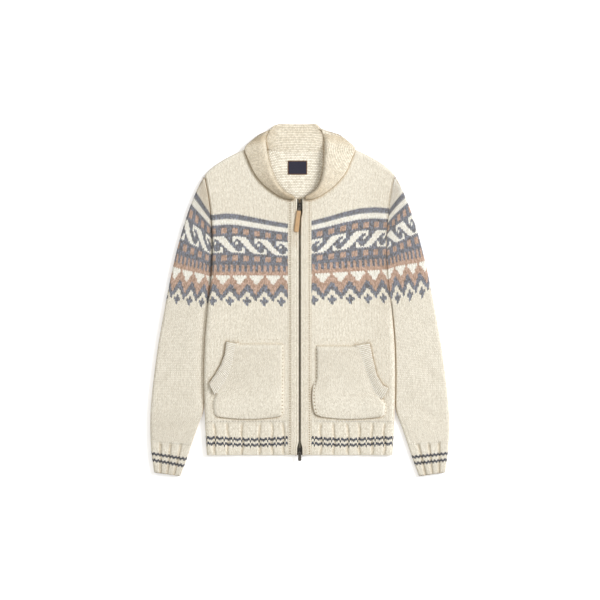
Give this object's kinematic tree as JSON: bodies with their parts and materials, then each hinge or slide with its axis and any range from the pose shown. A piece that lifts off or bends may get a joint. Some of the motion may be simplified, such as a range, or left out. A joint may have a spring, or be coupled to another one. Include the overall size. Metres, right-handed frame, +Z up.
{
  "type": "jacquard knit zip cardigan laid flat",
  "caption": "Chunky shawl-collar zip cardigan in knitted jacquard, with patch pockets and ribbed hem and cuffs, laid out flat on its back.",
  "frame": {"origin": "middle of the footprint, on the surface the cardigan lies on", "axes": "+Z up from the surface, +Y from the hem to the collar, +X to the right of someone who looks down at the front"},
  "size_m": [0.674, 0.7928, 0.0232],
  "materials": {
    "jacquard_knit": "chunky wool knit, cream with grey, off-white and tan jacquard",
    "rib_knit": "ribbed wool knit, cream",
    "zip_tape": "woven tape",
    "dark_metal": "dark nickel",
    "tan_leather": "smooth vegetable-tanned leather",
    "woven_label": "plain woven label"
  },
  "bodies": {
    "cardigan": {"back": "jacquard_knit", "front_left": "jacquard_knit", "front_right": "jacquard_knit", "sleeve_left": "jacquard_knit", "sleeve_right": "jacquard_knit", "pocket_left": "jacquard_knit", "pocket_right": "jacquard_knit", "pocket_trim_left": "rib_knit", "pocket_trim_right": "rib_knit", "cuff_left": "rib_knit", "cuff_right": "rib_knit", "hem_back": "rib_knit", "hem_front_left": "rib_knit", "hem_front_right": "rib_knit", "band_left": "rib_knit", "band_right": "rib_knit", "collar": "rib_knit", "zip_tape_left": "zip_tape", "zip_tape_right": "zip_tape", "zip_teeth_left": "dark_metal", "zip_teeth_right": "dark_metal", "slider_top": "dark_metal", "slider_bottom": "dark_metal", "neck_label": "woven_label"},
    "pull_top": {"pull_link_top": "dark_metal", "pull_tab_top": "tan_leather"},
    "pull_bottom": {"pull_tab_bottom": "dark_metal"}
  },
  "joints": [
    {"name": "top_pull_swing", "type": "hinge", "parent": "cardigan", "child": "pull_top", "pos_m": [0, 0.214, 0.0128], "axis": [-1, 0, 0], "range_deg": [0, 135]},
    {"name": "bottom_pull_swing", "type": "hinge", "parent": "cardigan", "child": "pull_bottom", "pos_m": [0, -0.342, 0.0128], "axis": [-1, 0, 0], "range_deg": [0, 180]}
  ]
}
